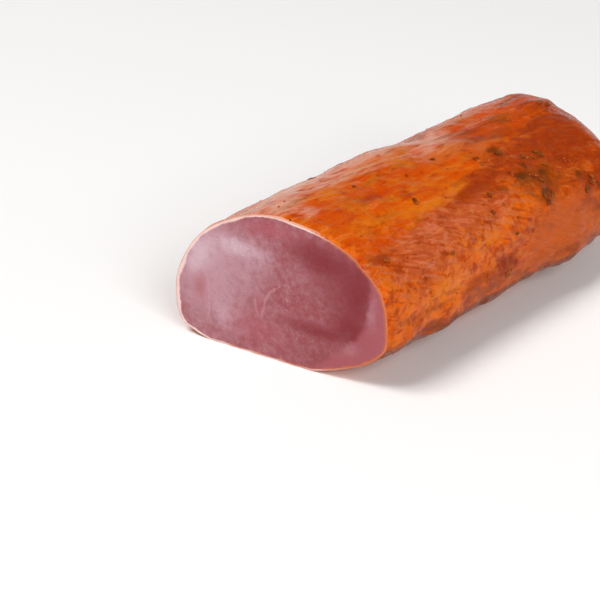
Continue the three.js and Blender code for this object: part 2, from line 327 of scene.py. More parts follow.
# Pale seams between the muscles of the cut face, each a line of places up and across
FACE_SEAMS = (
    ((18, -9), (24, -7.5), (29, -6.5), (34, -4), (37.5, 0), (40, 5)),
    ((18, -9), (24, -11), (31, -11.5)),
    ((10, -35.5), (20, -34.5), (28, -35), (40, -35.5)),
)
SEAM_FADE = 3
SEAM_WIDTH = 0.6

# How lines of the looks stray: how far, over what distance, and seed. The cap's colour ends
# between two distances along the loin.
SEAM_WANDER = (0.7, 5, 41)
RIM_WANDER = (0.35, 7, 43)
CAP_END_WANDER = (7, 18, 44)
CAP_ENDS = (172, 182)

# The line that sets off the second muscle at the right of the cut face, up and across
SECOND_MUSCLE_EDGE = ((0, 14), (8, 21), (15, 28), (23, 36), (30, 39.5), (38, 41), (47, 41), (58, 39))

# What the cut face's material reads
FACE_FIELDS = (
    "inward",
    "stained_rim",
    "second",
    *(f"seam_{i}" for i in range(len(FACE_SEAMS))),
    *FACE_ZONES,
)


# Numbers and patterns


def linear(hex_colour):
    """The linear colour of an sRGB hex value"""
    channels = [int(hex_colour[i : i + 2], 16) / 255 for i in (1, 3, 5)]
    return [c / 12.92 if c <= 0.04045 else ((c + 0.055) / 1.055) ** 2.4 for c in channels]


def smoothstep(value, low, high):
    """0 up to low, 1 from high on, and a soft rise between them"""
    part = np.clip((value - low) / (high - low), 0, 1)
    return part * part * (3 - 2 * part)


def hump(distance, reach):
    """A soft hump that is 1 at no distance and fades within about twice its reach"""
    return np.exp(-((distance / reach) ** 2))


def corner_value(i, j, k, seed):
    """A repeatable random value from 0 to 1 for each corner of a lattice"""
    whole = np.uint32
    mix = i.astype(whole) * whole(374761393) + j.astype(whole) * whole(668265263)
    mix += k.astype(whole) * whole(1274126177) + whole(seed * 974634777 & 0xFFFFFFFF)
    mix = (mix ^ (mix >> whole(13))) * whole(1103515245)
    mix = mix ^ (mix >> whole(16))
    return mix / 4294967296


def swell(point, height, wavelength, seed):
    """A smooth swell up to its height either way, with bumps about one wavelength apart"""
    scaled = point / wavelength
    low = np.floor(scaled)
    part = scaled - low
    ease = part**3 * (part * (part * 6 - 15) + 10)
    low = low.astype(np.int64)
    total = 0
    for bits in range(8):
        step = np.array([bits & 1, bits >> 1 & 1, bits >> 2 & 1])
        weight = np.prod(np.where(step, ease, 1 - ease), axis=-1)
        total += weight * corner_value(*np.moveaxis(low + step, -1, 0), seed)
    return height * (2 * total - 1)


def streaks(point, heading, length, width, seed):
    """A swell from -1 to 1 that is drawn out along a heading"""
    side = heading.cross(Vector((0, 0, 1))).normalized()
    basis = np.array([heading, side, heading.cross(side)])
    return swell((point @ basis.T) / np.array([length, width, width]), 1, 1, seed)


def zone_cover(first, second, spots):
    """How far any of the spots covers a place, from 0 to 1"""
    left = 1
    for a, b, reach_a, reach_b, strength in spots:
        distance = np.hypot((first - a) / reach_a, (second - b) / reach_b)
        left = left * (1 - strength * hump(distance, 1))
    return 1 - left


def beside_line(across, up, line):
    """How far each place lies to the right of a line that runs upwards"""
    heights, offsets = zip(*line)
    slope = np.interp(up + 0.5, heights, offsets) - np.interp(up - 0.5, heights, offsets)
    return (across - np.interp(up, heights, offsets)) / np.hypot(1, slope)


def make_draw(seed):
    """Repeatable random draws from 0 to 1, as in the solid"""
    state = seed

    def draw():
        nonlocal state
        state = (state * 1664525 + 1013904223) & 0xFFFFFFFF
        return state / 4294967296

    return draw


# Form of the loin


def plain_section(turn):
    """A point of the plain section, about its waist: four quarter superellipses that meet"""
    sine, cosine = np.sin(2 * np.pi * turn), np.cos(2 * np.pi * turn)
    right, upper = sine >= 0, cosine >= 0
    reach = np.where(right, RIGHT_REACH, LEFT_REACH)
    rise = np.where(upper, CROWN_RISE, BELLY_DROP)
    upper_fullness = np.where(right, UPPER_RIGHT_FULLNESS, UPPER_LEFT_FULLNESS)
    lower_fullness = np.where(right, LOWER_RIGHT_FULLNESS, LOWER_LEFT_FULLNESS)
    power = 2 / np.where(upper, upper_fullness, lower_fullness)
    across = np.sign(sine) * reach * np.abs(sine) ** power
    return np.stack([CROWN_OFFSET + across, np.sign(cosine) * rise * np.abs(cosine) ** power], -1)


def soft_section(turn):
    """The section with neighbours averaged, so that no quarter ends in an edge"""
    total = 0
    for i, weight in enumerate(SOFTENING_WEIGHTS):
        offset = (i - (len(SOFTENING_WEIGHTS) - 1) / 2) * SOFTENING_STEP
        total += weight * plain_section(turn + offset)
    return total / sum(SOFTENING_WEIGHTS)


SECTION_TURNS = np.linspace(0, 1, 4001)
SECTION_LENGTHS = np.concatenate(
    [[0], np.cumsum(np.linalg.norm(np.diff(soft_section(SECTION_TURNS), axis=0), axis=1))]
)
GIRTH = SECTION_LENGTHS[-1]
CUT_SLOPE = math.tan(CUT_SKEW)


def section_at(turn):
    """Points and unit tangents of the section at even shares of its girth"""
    raw = np.interp(turn * GIRTH, SECTION_LENGTHS, SECTION_TURNS)
    ahead = soft_section(np.minimum(raw + 1e-4, 1)) - soft_section(np.maximum(raw - 1e-4, 0))
    return soft_section(raw), ahead / np.linalg.norm(ahead, axis=-1, keepdims=True)


def section_share(ring):
    """How wide the section is at a ring: all of it, then rounded off towards the far end"""
    past = np.maximum(0, ring - (LOIN_LENGTH - END_ROUND_LENGTH)) / END_ROUND_LENGTH
    return (1 - past**END_FULLNESS) ** (1 / END_FULLNESS)


class Places:
    """Where points lie on the loin, from their turn, their ring and their share of the section"""

    def __init__(self, turn, ring, share):
        self.ring, self.share = ring, share
        self.edge, self.tangent = section_at(turn)
        self.around = GIRTH * np.where(turn > 0.5, turn - 1, turn)
        skew = CUT_SLOPE * np.maximum(0, 1 - ring / CUT_SKEW_FADES_BY)
        self.along = ring + skew * self.edge[:, 0] * share
        self.plain = np.stack([self.edge[:, 0], self.along, self.edge[:, 1]], -1)
        self.point = self.plain * np.stack([share, np.ones_like(share), share], -1)
        self.on_face = ring <= 0


def skin_places(along, around):
    """The places of the skin at distances along and around"""
    turn = (np.atleast_1d(around) / GIRTH) % 1
    along = np.atleast_1d(along).astype(float)
    lean = CUT_SLOPE * section_at(turn)[0][:, 0]
    ring = (along - lean) / (1 - lean / CUT_SKEW_FADES_BY)
    ring = np.clip(np.where(ring < CUT_SKEW_FADES_BY, ring, along), 1, LOIN_LENGTH)
    return Places(turn, ring, section_share(ring))


def cap_cover(places, width=CAP_STEP_WIDTH):
    """How much of the fat cap covers a place: 1 on the cap and 0 on the lean"""
    wobble = swell(places.plain, *CAP_WOBBLE)
    right_edge = CAP_EDGE_AT_FACE + CAP_DRIFT * places.along + wobble
    right = smoothstep(right_edge - places.around, 0, width)
    left = smoothstep(places.around - CAP_LEFT_EDGE + wobble, 0, width)
    return right * left


def main_relief(places):
    """How far the skin stands out from the plain form, as in the solid"""
    along, around = places.along, places.around
    relief = swell(places.plain, *LUMP) + swell(places.plain, *RIPPLE)
    relief += CAP_STEP * (cap_cover(places) - 1)
    relief += SHOULDER[1] * hump(around - SHOULDER[0], SHOULDER[2])
    for a, b, height, reach in SWELLINGS:
        relief += height * hump(np.hypot(along - a, around - b), reach)
    sway = swell(places.plain, *CREASE_SWAY)
    for b, start, end, depth, reach in CREASES:
        lead = smoothstep(along, start, start + CREASE_FADE)
        trail = 1 - smoothstep(along, end - CREASE_FADE, end)
        relief = relief - depth * lead * trail * hump(around - b - sway, reach)
    return relief - EDGE_DRAW_IN_DEPTH * np.exp(-places.ring / EDGE_DRAW_IN_REACH)


def strand_cover(places):
    """Raised strands of marinade: thin broken ridges that run across one another"""
    cover = 0
    for turn_deg, seed in STRANDS:
        heading = Matrix.Rotation(math.radians(turn_deg), 3, "X") @ FIBRE_HEADING
        wave = streaks(places.point, heading, STRAND_LENGTH, STRAND_SPACING, seed)
        wave += swell(places.point, *STRAND_WANDER, seed + 10)
        ridge = 1 - np.abs(wave) / STRAND_NARROWNESS
        gaps = streaks(places.point, heading, STRAND_GAP, STRAND_GAP, seed + 20)
        cover = np.maximum(cover, np.clip(ridge, 0, 1) * smoothstep(gaps, 0, 0.4))
    clotted = zone_cover(places.along, places.around, COAT_ZONES["clotted"])
    return cover * smoothstep(clotted, 0.3, 0.8)


def fine_relief(places, sizes):
    """Relief that the solid leaves out, in millimetres outwards"""
    cap = cap_cover(places)
    fibres = streaks(places.point, FIBRE_HEADING, *FIBRE_STREAK)
    oiled = streaks(places.point, STREAK_HEADING, *OIL_STREAK)
    rough = smoothstep(places.along, *ROUGH_ALONG)
    rough = np.maximum(rough, smoothstep(np.abs(places.around), *ROUGH_AROUND))
    relief = swell(places.point, *PIMPLE) + swell(places.point, *DIMPLE)
    relief += swell(places.point, *ROUGH_SKIN) * rough
    relief += sizes.fibre_height / MM * fibres * (1 - cap)
    relief += sizes.fat_ripple_height / MM * oiled * cap
    relief += sizes.strand_height / MM * strand_cover(places)
    return relief * smoothstep(places.ring, 0, RELIEF_FADE)


def mould(places, relief):
    """Points of the loin in millimetres, its skin moved outwards by the relief"""
    edge, tangent, share, along = places.edge, places.tangent, places.share, places.along
    x = edge[:, 0] * share - tangent[:, 1] * relief * share
    z = edge[:, 1] * share + tangent[:, 0] * relief * share + WAIST_HEIGHT
    lumpy = along + (1 - share) * swell(np.stack([x, along, z], -1), *END_LUMP)
    y = np.where(places.on_face, CUT_SLOPE * x - FACE_DOME * (1 - share**2), lumpy)
    return np.stack([x, y, np.maximum(z, 0)], -1)


def frame_offset():
    """What takes the loin's own coordinates to the frame, in millimetres"""
    turn, ring = np.meshgrid(np.arange(72) / 72, np.linspace(0, LOIN_LENGTH, 200))
    places = Places(turn.ravel(), ring.ravel(), section_share(ring).ravel())
    points = mould(places, main_relief(places))
    low, high = (np.array(corner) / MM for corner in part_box("pork_loin"))
    offset = (low + high) / 2 - (points.min(0) + points.max(0)) / 2
    return offset * np.array([1, 1, 0])


OFFSET = frame_offset()


def skin_frames(along, around, relief):
    """For each place, a matrix in metres whose Z stands on the skin and whose X runs along"""
    along, around = np.asarray(along, float), np.asarray(around, float)
    steps = skin_places(
        np.concatenate([along, along + 1, along]), np.concatenate([around, around, around + 1])
    )
    points = (mould(steps, main_relief(steps) + relief) + OFFSET) * MM
    frames = []
    for middle, ahead, beside in zip(*points.reshape(3, -1, 3)):
        ahead = Vector(ahead - middle).normalized()
        outward = ahead.cross(Vector(beside - middle)).normalized()
        basis = Matrix((ahead, outward.cross(ahead), outward)).transposed()
        frames.append(Matrix.Translation(middle) @ basis.to_4x4())
    return frames


# Meshes


def to_object(bm, name, materials):
    """A finished mesh as an object in the scene"""
    mesh = bpy.data.meshes.new(name)
    bm.to_mesh(mesh)
    bm.free()
    for material in materials:
        mesh.materials.append(material)
    made = bpy.data.objects.new(name, mesh)
    bpy.context.scene.collection.objects.link(made)
    return made


def coordinates(mesh):
    """The vertices of a mesh as an array"""
    flat = np.empty(len(mesh.vertices) * 3, np.float32)
    mesh.vertices.foreach_get("co", flat)
    return flat.reshape(-1, 3).astype(float)


def set_field(mesh, name, values):
    """Keeps a value for each vertex under a name that materials read"""
    attribute = mesh.attributes.new(name, "FLOAT", "POINT")
    attribute.data.foreach_set("value", np.asarray(values, np.float32))


def loin_profile():
    """The line that is turned into the loin: share of the section, and ring in millimetres"""
    profile = [(share, 0) for share in np.linspace(0, RIM_PROFILE[0][0], FACE_RINGS)[:-1]]
    profile += RIM_PROFILE
    straight = LOIN_LENGTH - END_ROUND_LENGTH
    rings = round(straight / RING_STEP)
    start = RIM_PROFILE[-1][1]
    profile += [(1, start + (straight - start) * i / rings) for i in range(1, rings)]
    for i in range(END_RINGS):
        turn = math.pi / 2 * i / END_RINGS
        rise = END_ROUND_LENGTH * math.sin(turn) ** (2 / END_FULLNESS)
        profile.append((math.cos(turn) ** (2 / END_FULLNESS), straight + rise))
    return [*profile, (0, LOIN_LENGTH)]


def turned_mesh():
    """The loin's rings, turned about its length with a radius of one share"""
    bm = bmesh.new()
    line = [bm.verts.new((0, ring, share)) for share, ring in loin_profile()]
    edges = [bm.edges.new(pair) for pair in zip(line, line[1:])]
    around = {"cent": (0, 0, 0), "axis": (0, 1, 0), "angle": 2 * math.pi, "steps": SPOKES}
    bmesh.ops.spin(bm, geom=[*line, *edges], use_merge=True, **around)
    bmesh.ops.remove_doubles(bm, verts=bm.verts, dist=1e-4)
    bmesh.ops.recalc_face_normals(bm, faces=bm.faces)
    for face in bm.faces:
        face.smooth = True
    return bm


def stained_edge(places):
    """How much of the fat at the edge of the cut is stained: all of it down the right side,
    where it is thin, and about half along the foot"""
    right = smoothstep(places.around, 8, 36) - 0.4 * smoothstep(places.around, 104, 125)
    return right + 0.6 * smoothstep(-places.around, 92, 120)


def face_fields(places, points):
    """What the cut face's material reads, for each vertex, in the order of its names"""
    across, up = points[:, 0], points[:, 2]
    support = -places.edge[:, 0] * places.tangent[:, 1] + places.edge[:, 1] * places.tangent[:, 0]
    wander = swell(points, *SEAM_WANDER)
    inward = np.minimum((1 - places.share) * np.abs(support), up)
    stained = stained_edge(places)
    thick = 1 + 0.4 * stained - 0.5 * hump(places.around + 72, 32)
    rim = inward * thick + swell(points, *RIM_WANDER)
    fields = [rim * MM, stained * smoothstep(inward, 3, 0.3)]
    fields.append(beside_line(across + wander, up, SECOND_MUSCLE_EDGE) * MM)
    for line in FACE_SEAMS:
        past = np.maximum(line[0][0] - up, up - line[-1][0])
        side = beside_line(across + wander, up, line) * (1 + 4 * smoothstep(past, -SEAM_FADE, 0))
        fields.append(np.where(past > 0, 1, side * MM))
    fields += [zone_cover(across, up, spots) for spots in FACE_ZONES.values()]
    return dict(zip(FACE_FIELDS, fields))


def coat_fields(places):
    """What the coat's material reads, for each vertex"""
    end = smoothstep(places.along + swell(places.point, *CAP_END_WANDER), *CAP_ENDS)
    fields = {"cap": cap_cover(places, 1.6) * (1 - 0.9 * end)}
    fields["pale_edge"] = (1 - stained_edge(places)) * smoothstep(places.ring, 1.1, 0.3)
    for name, spots in COAT_ZONES.items():
        fields[name] = zone_cover(places.along, places.around, spots)
    return fields


def moulded_loin(materials, sizes):
    """The whole loin: skin and cut face in one closed mesh"""
    made = to_object(turned_mesh(), "loin_meat", materials)
    mesh = made.data
    turned = coordinates(mesh)
    turn = (np.arctan2(turned[:, 0], turned[:, 2]) / (2 * math.pi)) % 1
    share = np.hypot(turned[:, 0], turned[:, 2])
    ring = np.where(turned[:, 1] < 1e-4, 0, turned[:, 1])
    places = Places(turn, ring, share)
    fine = fine_relief(places, sizes)
    points = mould(places, main_relief(places) + fine)
    points[:, 1] += np.where(places.on_face, swell(points, *FACE_RIPPLE), fine * (1 - share))
    on_face = np.array([all(places.on_face[i] for i in p.vertices) for p in mesh.polygons])
    mesh.polygons.foreach_set("material_index", on_face.astype(np.int32))
    for name, values in {**coat_fields(places), **face_fields(places, points)}.items():
        set_field(mesh, name, values)
    mesh.vertices.foreach_set("co", ((points + OFFSET) * MM).astype(np.float32).ravel())
    mesh.update()
    return made


def add_flake(bm, place, size, outline):
    """One flake of dried leaf: a thin chip with an uneven outline and a slight curl"""
    made = bmesh.ops.create_grid(bm, x_segments=4, y_segments=3, size=0.5)["verts"]
    faces = {face for vert in made for face in vert.link_faces}
    for vert in made:
        x, y = 2 * vert.co.x, 2 * vert.co.y
        heading = math.atan2(y, x) / (2 * math.pi) * FLAKE_SIDES
        corner = math.floor(heading)
        part = heading - corner
        sides = [outline[(corner + i) % FLAKE_SIDES] for i in (0, 1)]
        reach = sides[0] * (1 - part) + sides[1] * part
        square = max(abs(x), abs(y)) / max(math.hypot(x, y), 1e-6)
        x, y = x * reach * square, y * reach * square
        curl = Vector(FLAKE_CURL).dot((x * x, y * y, x * y))
        vert.co = (x * size.x / 2, y * size.y / 2, curl * size.x / 2)
    shell = bmesh.ops.solidify(bm, geom=[*faces, *made], thickness=size.z)["geom"]
    verts = {g for g in [*made, *shell] if isinstance(g, bmesh.types.BMVert)}
    bmesh.ops.transform(bm, matrix=place, verts=list(verts))


def herb_flakes(materials, look):
    """All the flakes of herb that show from a step away, at the solid's places"""
    draw = make_draw(HERB_SEED)
    flakes = []
    for along, around, reach, count, scale in HERB_DRIFTS:
        for _ in range(count):
            heading = 2 * math.pi * draw()
            distance = reach * math.sqrt(draw())
            a = along + distance * math.cos(heading)
            b = around + distance * math.sin(heading)
            size = scale * (0.75 + 0.5 * draw())
            outline = [1 - FLAKE_UNEVENNESS * draw() for _ in range(FLAKE_SIDES)]
            length = FLAKE_LENGTH * (0.75 + 0.5 * draw()) * size
            flakes.append((a, b, length, FLAKE_WIDTH * size, outline, math.pi * draw()))
    bm = bmesh.new()
    places = skin_frames(*zip(*((a, b) for a, b, *_ in flakes)), look.flake_sits / MM)
    for place, (_, _, length, width, outline, turn) in zip(places, flakes):
        extent = Vector((length * MM, width * MM, look.flake_thickness))
        add_flake(bm, place @ Matrix.Rotation(turn, 4, "Z"), extent, outline)
    bmesh.ops.recalc_face_normals(bm, faces=bm.faces)
    return to_object(bm, "herb_flakes", materials)


def scattered_places(count, draw):
    """Places of crumbs, closest together in the middle of each drift"""
    places = []
    for along, around, spread_along, spread_around, part in CRUMB_DRIFTS:
        for _ in range(round(count * part)):
            distance = draw() + draw()
            heading = 2 * math.pi * draw()
            a = along + spread_along * distance * math.cos(heading)
            b = around + spread_around * distance * math.sin(heading)
            is_along = CRUMB_FREE_EDGE < a < LOIN_LENGTH - CRUMB_FREE_END
            if is_along and LEFT_FOOT < b < RIGHT_FOOT:
                places.append((a, b))
    return places


def add_crumb(bm, place, size, draw):
    """One crumb of spice: a faceted lump that is half sunk in the coat"""
    made = bmesh.ops.create_icosphere(bm, subdivisions=1, radius=0.5)["verts"]
    for vert in made:
        vert.co *= 0.75 + 0.5 * draw()
    stretch = Matrix.Diagonal((size * (0.8 + 0.7 * draw()), size, size * CRUMB_FLATNESS, 1))
    spin = Matrix.Rotation(math.pi * draw(), 4, "Z")
    bmesh.ops.transform(bm, matrix=place @ spin @ stretch, verts=made)


def crumbs(name, materials, count, low, high, seed):
    """Crumbs of one kind, from the low to the high size"""
    bm = bmesh.new()
    draw = make_draw(seed)
    for place in skin_frames(*zip(*scattered_places(count, draw)), CRUMB_RISE):
        add_crumb(bm, place, low + (high - low) * draw() ** 2, draw)
    bmesh.ops.recalc_face_normals(bm, faces=bm.faces)
    return to_object(bm, name, materials)


# Materials


def add_node(tree, kind, inputs=None, **settings):
    """Adds a node with its settings, fills or links its inputs by name or by place, and returns
    its outputs"""
    made = tree.nodes.new(kind)
    for name, value in settings.items():
        setattr(made, name, value)
    for socket, value in (inputs or {}).items():
        if isinstance(value, bpy.types.NodeSocket):
            tree.links.new(value, made.inputs[socket])
        else:
            made.inputs[socket].default_value = value
    return made.outputs


def new_material(name, blotches, field_names=()):
    """A material without a look yet, its node tree, the object's own coordinates, noises, each
    from the size of its blotches in millimetres, its detail and its roughness, and the mesh's
    fields by name"""
    material = bpy.data.materials.new(name)
    material.use_nodes = True
    tree = material.node_tree
    tree.nodes.clear()
    place = add_node(tree, "ShaderNodeTexCoord")["Object"]
    noises = []
    for size, detail, rough in blotches:
        inputs = {"Vector": place, "Scale": 1 / (size * MM), "Detail": detail, "Roughness": rough}
        noises.append(add_node(tree, "ShaderNodeTexNoise", inputs)[0])
    fields = {}
    for field in field_names:
        fields[field] = add_node(tree, "ShaderNodeAttribute", attribute_name=field)["Fac"]
    return material, tree, place, noises, fields


def finish_material(tree, colour, height, reach, surface, strength=1):
    """The Principled shader and the output, with fine relief of a height and its reach, and what
    else goes on the shader's own sockets"""
    relief = {"Height": height, "Distance": reach, "Strength": strength}
    normal = add_node(tree, "ShaderNodeBump", relief)["Normal"]
    inputs = {"Base Color": colour, "Normal": normal, **surface}
    made = add_node(tree, "ShaderNodeBsdfPrincipled", inputs)["BSDF"]
    add_node(tree, "ShaderNodeOutputMaterial", {"Surface": made})


def paint(tree, colours, base, layers, fields):
    """Lays colours over a base. Each layer is a field or mask, the name of a colour, the noise that
    frays its edge, how much, where the frayed field starts and ends to cover, and how much it
    covers."""
    under = (*getattr(colours, base), 1)
    for cover, name, noise, fray, low, high, most in layers:
        colour = (*getattr(colours, name), 1)
        cover, most = (fields[v] if isinstance(v, str) else v for v in (cover, most))
        inputs = {0: noise, 1: fray, 2: cover}
        frayed = add_node(tree, "ShaderNodeMath", inputs, operation="MULTIPLY_ADD")[0]
        inputs = {0: frayed, 1: low + fray / 2, 2: high + fray / 2, 4: most}
        mask = add_node(tree, "ShaderNodeMapRange", inputs, interpolation_type="SMOOTHSTEP")[0]
        inputs = {0: mask, 6: under, 7: colour}
        under = add_node(tree, "ShaderNodeMix", inputs, data_type="RGBA")[2]
    return under


def coat_material(colours, sizes):
    """Raw pork fat and lean under an oily paprika marinade: a wet, deep orange with pale streaks
    of fat and fibre, that lets some light in. Painted sheen lies along the crown, painted
    highlights on the raised fibres, and painted shade in the hollows and along the foot"""
    # Grains of ground paprika are too fine to show, so the finest grain is drawn much coarser
    blotches = ((16, 3, 0.6), (5, 4, 0.6), (5.5, 1, 0.6), (1.6, 3, 0.6))
    material, tree, place, noises, fields = new_material(
        "oiled paprika marinade on raw pork", blotches, ("cap", "pale_edge", *COAT_ZONES)
    )
    mottle, patch, clump, grain = noises
    drawn_out = []
    for heading, turn, width, length, bend in (
        (FIBRE_HEADING, 0, 2, 15, 0.3),
        (STREAK_HEADING, 0, 6, 18, 0.7),
        (STREAK_HEADING, 5, 2.8, 11, 0.7),
        (FIBRE_HEADING, 68, 3.8, 14, 0.7),
        (FIBRE_HEADING, -48, 3.4, 13, 0.7),
    ):
        heading = Matrix.Rotation(math.radians(turn), 3, "X") @ heading
        rotation = heading.to_track_quat("Y", "Z").to_euler()
        scale = (width * MM, length * MM, width * MM)
        inputs = {"Vector": place, "Rotation": rotation, "Scale": scale}
        turned = add_node(tree, "ShaderNodeMapping", inputs, vector_type="TEXTURE")[0]
        inputs = {"Vector": turned, "Scale": 1, "Detail": 3, "Distortion": bend}
        drawn_out.append(add_node(tree, "ShaderNodeTexNoise", inputs)[0])
    fibre, flow, stroke, crossing, counter = drawn_out
    layers = (
        (mottle, "marinade", patch, 0.6, 0.35, 0.62, 0.9),
        (patch, "ruddy_and_shade", grain, 0.3, 0.46, 0.34, 0.6),
        ("glowing", "glowing", patch, 1, 0.1, 0.7, 0.85),
        ("salmon", "salmon", fibre, 1.4, 0.1, 0.8, 0.9),
        (fibre, "fibre", patch, 0.3, 0.53, 0.66, 0.75),
        (fibre, "ruddy_and_shade", patch, 0.3, 0.45, 0.33, 0.6),
        ("cap", "fat", patch, 0.4, 0.35, 0.65, 0.95),
        (mottle, "marinade_red", flow, 0.8, 0.4, 0.8, "cap"),
        (flow, "golden", patch, 0.5, 0.42, 0.8, "cap"),
        ("golden", "golden", stroke, 1.8, 0.2, 1.1, 0.85),
        ("reddened", "marinade_red", stroke, 1.6, 0.15, 1.1, 0.85),
        ("thin", "fibre", stroke, 1.2, 0.1, 0.9, 0.85),
        # Pale fat, and painted sheen along the crown
        ("bare_fat_and_sheen", "bare_fat_and_sheen", stroke, 1.5, 0.1, 1.1, 0.8),
        # Painted shade in the hollows between the raised strands
        (clump, "pit_shade", patch, 0.3, 0.47, 0.3, "clotted"),
        (crossing, "pit_shade", patch, 0.3, 0.46, 0.33, "clotted"),
        (counter, "strand", grain, 0.2, 0.53, 0.67, "clotted"),
        (crossing, "strand", grain, 0.2, 0.54, 0.67, "clotted"),
        # Painted highlights on the raised fibres and crossing strands of the lean
        (fibre, "fibre_highlight", patch, 0.3, 0.5, 0.68, "salmon"),
        (crossing, "fibre_highlight", grain, 0.2, 0.58, 0.7, "salmon"),
        (stroke, "ruddy_and_shade", patch, 0.4, 0.43, 0.3, 0.45),
        (stroke, "strand", patch, 0.3, 0.57, 0.76, 0.4),
        ("smooth", "smooth", patch, 0.6, 0.1, 0.8, 0.75),
        # Dark red-brown marinade, and painted shade along the bottom of both flanks
        ("ruddy_and_shade", "ruddy_and_shade", flow, 1.8, 0.1, 1, 0.8),
        ("soaked", "soaked", patch, 1.9, 0.25, 1.2, 0.85),
        ("steeped", "steeped", grain, 0.9, 0.3, 1, 0.85),
        (grain, "ruddy_and_shade", patch, 0.6, 0.55, 0.8, 0.2),
        # Painted shade along the foot, in the colour of soaked marinade
        ("foot_shade_and_soak", "soaked", flow, 1.2, 0, 0.8, 0.85),
        ("pale_edge", "bare_fat_and_sheen", grain, 0.8, 0.3, 0.9, 0.8),
    )
    colour = paint(tree, colours, "lean", layers, fields)
    inputs = {0: crossing, 1: counter}
    shreds = add_node(tree, "ShaderNodeMath", inputs, operation="MAXIMUM")[0]
    inputs = {0: shreds, 1: fields["clotted"]}
    height = add_node(tree, "ShaderNodeMath", inputs, operation="MULTIPLY")[0]
    for noise, part in ((fibre, 0.5), (stroke, 0.4), (grain, 0.16)):
        inputs = {0: noise, 1: part, 2: height}
        height = add_node(tree, "ShaderNodeMath", inputs, operation="MULTIPLY_ADD")[0]
    gloss = {"Value": patch, "From Min": 0.3, "From Max": 0.7, "To Min": 0.12, "To Max": 0.32}
    surface = {
        "Roughness": add_node(tree, "ShaderNodeMapRange", gloss)[0],
        "Specular IOR Level": 0.1,
        "Subsurface Weight": 0.1,
        "Subsurface Radius": (1, 0.35, 0.2),
        "Subsurface Scale": 2 * MM,
    }
    finish_material(tree, colour, height, sizes.bump_height, surface)
    return material


def lean_material(colours, sizes):
    """Raw pork, cut with a knife: a moist, dusty pink with a fine grain, thin pale seams and a
    cream rim of fat. Its left is paler, partly with painted sheen, and its right and foot
    darker, partly with painted shade"""
    # Single muscle fibres are too fine to show, so the finest grain is drawn much coarser
    blotches = ((14, 3, 0.6), (3.5, 4, 0.6), (1, 3, 0.6))
    material, tree, place, noises, fields = new_material(
        "raw pork, knife cut", blotches, FACE_FIELDS
    )
    mottle, patch, grain = noises
    bundles = {"Vector": place, "Scale": 1 / sizes.grain_size}
    ends = add_node(tree, "ShaderNodeTexVoronoi", bundles)
    seam, rim = SEAM_WIDTH * MM, sizes.rim_width
    seam_layers = []
    for i in range(len(FACE_SEAMS)):
        side = {0: fields[f"seam_{i}"]}
        beside = add_node(tree, "ShaderNodeMath", side, operation="ABSOLUTE")[0]
        seam_layers.append((beside, "seam", patch, -2 * seam, 1.2 * seam, 0.2 * seam, 0.3))
    layers = (
        # The pale left of the cut is partly painted sheen
        ("dusty", "dusty", patch, 0.35, 0, 0.95, 0.9),
        (mottle, "dusty", patch, 0.4, 0.3, 0.95, 0.3),
        (patch, "dusty", grain, 0.4, 0.35, 0.85, 0.16),
        (ends[1], "dusty", patch, 0.6, 0.3, 1, 0.16),
        ("rosy", "rosy", patch, 0.4, 0, 0.9, 0.8),
        (grain, "fleck", patch, 0.4, 0.54, 0.8, 0.3),
        # The dark right and foot of the cut are partly painted shade
        ("deep", "deep", patch, 0.4, 0.05, 1, 0.9),
        (patch, "deep", grain, 0.5, 0.52, 0.3, 0.1),
        ("second", "second", patch, 4 * MM, -1 * MM, 2 * MM, 0.85),
        # Painted sheen on the moist cut
        ("painted_sheen", "painted_sheen", patch, 0.35, 0, 1, 0.8),
        *seam_layers,
        ("inward", "rim", patch, -rim, 1.4 * rim, 0.8 * rim, 0.95),
        ("stained_rim", "stained_rim", patch, 1, 0.25, 0.9, 0.9),
    )
    colour = paint(tree, colours, "lean", layers, fields)
    inputs = {0: ends[0], 1: -0.4, 2: grain}
    height = add_node(tree, "ShaderNodeMath", inputs, operation="MULTIPLY_ADD")[0]
    gloss = {"Value": patch, "From Min": 0.3, "From Max": 0.7, "To Min": 0.32, "To Max": 0.5}
    surface = {
        "Roughness": add_node(tree, "ShaderNodeMapRange", gloss)[0],
        "Specular IOR Level": 0.2,
        "Coat Weight": 0.05,
        "Coat Roughness": 0.2,
        "Subsurface Weight": 0.15,
        "Subsurface Radius": (1, 0.4, 0.35),
        "Subsurface Scale": 2.5 * MM,
    }
    finish_material(tree, colour, height, sizes.bump_height, surface, 0.4)
    return material


def herb_material(colours):
    """Dried green herb, soaked in oil: turned brown, with a film of marinade over part of it"""
    # Veins of the leaf are too fine to show, so the finer pattern is drawn coarser
    blotches = ((5, 2, 0.5), (0.7, 2, 0.5))
    material, tree, _, (vary, grain), fields = new_material("dried herb in oil", blotches)
    layers = (
        (vary, "herb_light", grain, 0.6, 0.35, 0.7, 1),
        (grain, "herb_film", vary, 0.6, 0.42, 0.66, 0.8),
    )
    colour = paint(tree, colours, "herb_dark", layers, fields)
    surface = {"Roughness": 0.5, "Specular IOR Level": 0.1}
    finish_material(tree, colour, grain, 0.2 * MM, surface)
    return material


def crumb_material(colours):
    """Granules of dried onion and paprika that have swollen in oil: pale to deep orange"""
    # Ground spice is too fine to show, so the finer pattern is drawn coarser
    blotches = ((4, 2, 0.5), (0.5, 2, 0.5))
    material, tree, _, (vary, grain), fields = new_material("swollen spice granules", blotches)
    layers = ((vary, "crumb_pale", grain, 0.4, 0.42, 0.6, 1),)
    colour = paint(tree, colours, "crumb_deep", layers, fields)
    surface = {"Roughness": 0.4, "Specular IOR Level": 0.15, "Subsurface Weight": 0.1}
    finish_material(tree, colour, grain, 0.1 * MM, surface)
    return material


